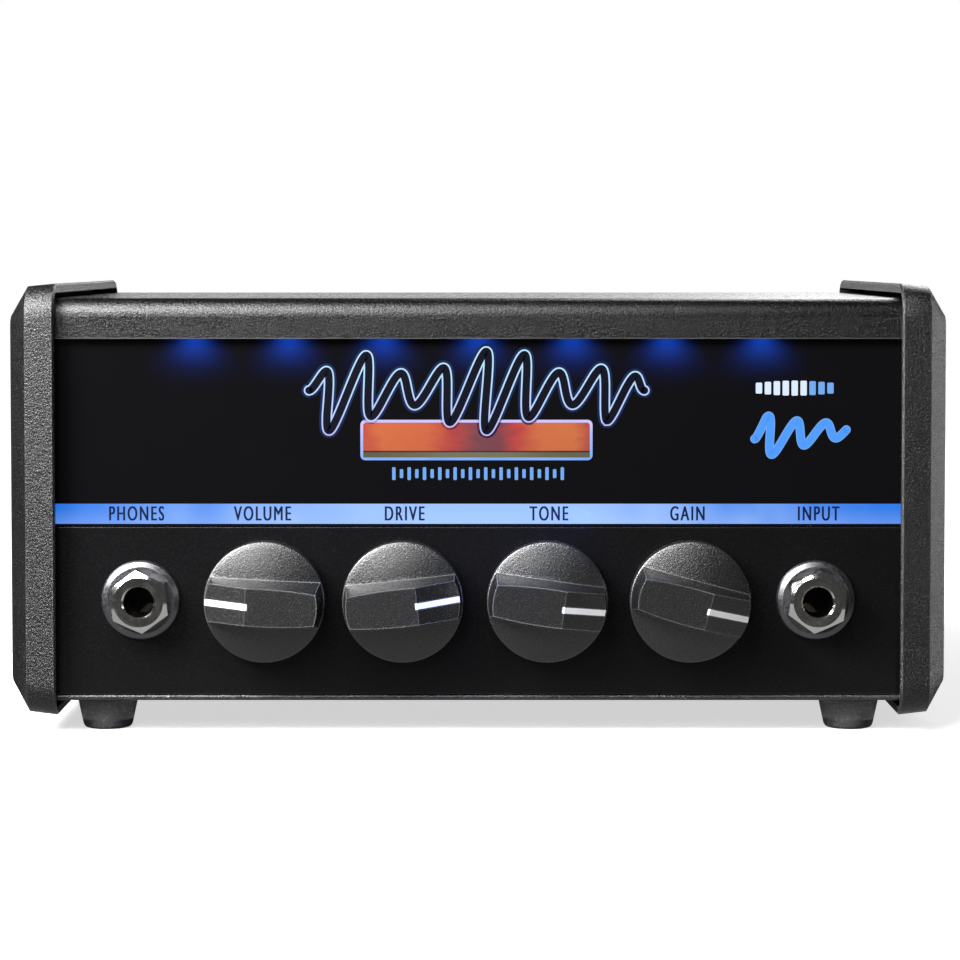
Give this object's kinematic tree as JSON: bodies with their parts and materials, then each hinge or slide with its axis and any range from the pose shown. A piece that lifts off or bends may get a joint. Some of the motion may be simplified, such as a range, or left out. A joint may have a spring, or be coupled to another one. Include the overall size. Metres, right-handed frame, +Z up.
{
  "type": "guitar amp head",
  "caption": "Compact guitar amp head: metal case between moulded cheeks, glowing dark window, bar-grip rotary knobs, panel jacks and rubber feet.",
  "frame": {"origin": "on the ground at the middle of the footprint", "axes": "+Z up, +X to the right seen from the front, the front faces -Y"},
  "size_m": [0.205, 0.1351, 0.0985],
  "materials": {
    "cheek_plastic": "fine moulded grain, matte black",
    "case_paint": "textured black powder coat",
    "screw_steel": "zinc plated",
    "window_acrylic": "polished dark acrylic",
    "window_print": "translucent printed film, backlit",
    "circuit_board": "solder mask",
    "led_glow": "clear lens, lit blue",
    "knob_plastic": "fine grained black",
    "indicator_white": "white inlay",
    "shaft_steel": "turned",
    "pot_case": "plated",
    "jack_chrome": "nickel plated",
    "jack_plastic": "black moulding",
    "contact_brass": "plated spring strip",
    "rocker_plastic": "satin black",
    "foot_rubber": "matte",
    "chip_plastic": "moulded",
    "sink_aluminium": "extruded",
    "capacitor_sleeve": "shrink sleeve"
  },
  "bodies": {
    "case": {"left_cheek": "cheek_plastic", "right_cheek": "cheek_plastic", "top_cover": "case_paint", "chassis_tray": "case_paint", "front_panel": "case_paint", "rear_panel": "case_paint", "cheek_screws": "screw_steel", "cover_screws": "screw_steel", "board_screws": "screw_steel", "foot_screws": "screw_steel", "foot_nuts": "screw_steel", "pot_nuts": "screw_steel", "pot_washers": "screw_steel", "standoffs": "screw_steel", "front_window": "window_acrylic", "window_film": "window_print", "led_board": "circuit_board", "main_board": "circuit_board", "control_board": "circuit_board", "leds": "led_glow", "volume_pot": "pot_case", "drive_pot": "pot_case", "tone_pot": "pot_case", "gain_pot": "pot_case", "jack_nuts": "jack_chrome", "jack_washers": "jack_chrome", "phones_jack": "jack_plastic", "input_jack": "jack_plastic", "speaker_jack": "jack_plastic", "fx_send_jack": "jack_plastic", "fx_return_jack": "jack_plastic", "aux_jack": "jack_plastic", "dc_inlet": "jack_plastic", "power_switch_frame": "jack_plastic", "phones_jack_contacts": "contact_brass", "input_jack_contacts": "contact_brass", "dc_inlet_pin": "contact_brass", "front_left_foot": "foot_rubber", "front_right_foot": "foot_rubber", "rear_left_foot": "foot_rubber", "rear_right_foot": "foot_rubber", "amp_chips": "chip_plastic", "inductors": "chip_plastic", "heatsink": "sink_aluminium", "capacitors": "capacitor_sleeve"},
    "volume_control": {"volume_knob": "knob_plastic", "volume_indicator": "indicator_white", "volume_shaft": "shaft_steel"},
    "drive_control": {"drive_knob": "knob_plastic", "drive_indicator": "indicator_white", "drive_shaft": "shaft_steel"},
    "tone_control": {"tone_knob": "knob_plastic", "tone_indicator": "indicator_white", "tone_shaft": "shaft_steel"},
    "gain_control": {"gain_knob": "knob_plastic", "gain_indicator": "indicator_white", "gain_shaft": "shaft_steel"},
    "rocker": {"power_switch_rocker": "rocker_plastic"}
  },
  "joints": [
    {"name": "volume_turn", "type": "hinge", "parent": "case", "child": "volume_control", "pos_m": [-0.0465, -0.0519, 0.0293], "axis": [0, 1, 0], "range_deg": [-63, 237]},
    {"name": "drive_turn", "type": "hinge", "parent": "case", "child": "drive_control", "pos_m": [-0.0164, -0.0519, 0.0293], "axis": [0, 1, 0], "range_deg": [-234, 66]},
    {"name": "tone_turn", "type": "hinge", "parent": "case", "child": "tone_control", "pos_m": [0.0151, -0.0519, 0.0293], "axis": [0, 1, 0], "range_deg": [-248, 52]},
    {"name": "gain_turn", "type": "hinge", "parent": "case", "child": "gain_control", "pos_m": [0.0462, -0.0519, 0.0293], "axis": [0, 1, 0], "range_deg": [-255, 45]},
    {"name": "power_rock", "type": "hinge", "parent": "case", "child": "rocker", "pos_m": [-0.048, 0.0598, 0.0293], "axis": [1, 0, 0], "range_deg": [0, 18]}
  ]
}
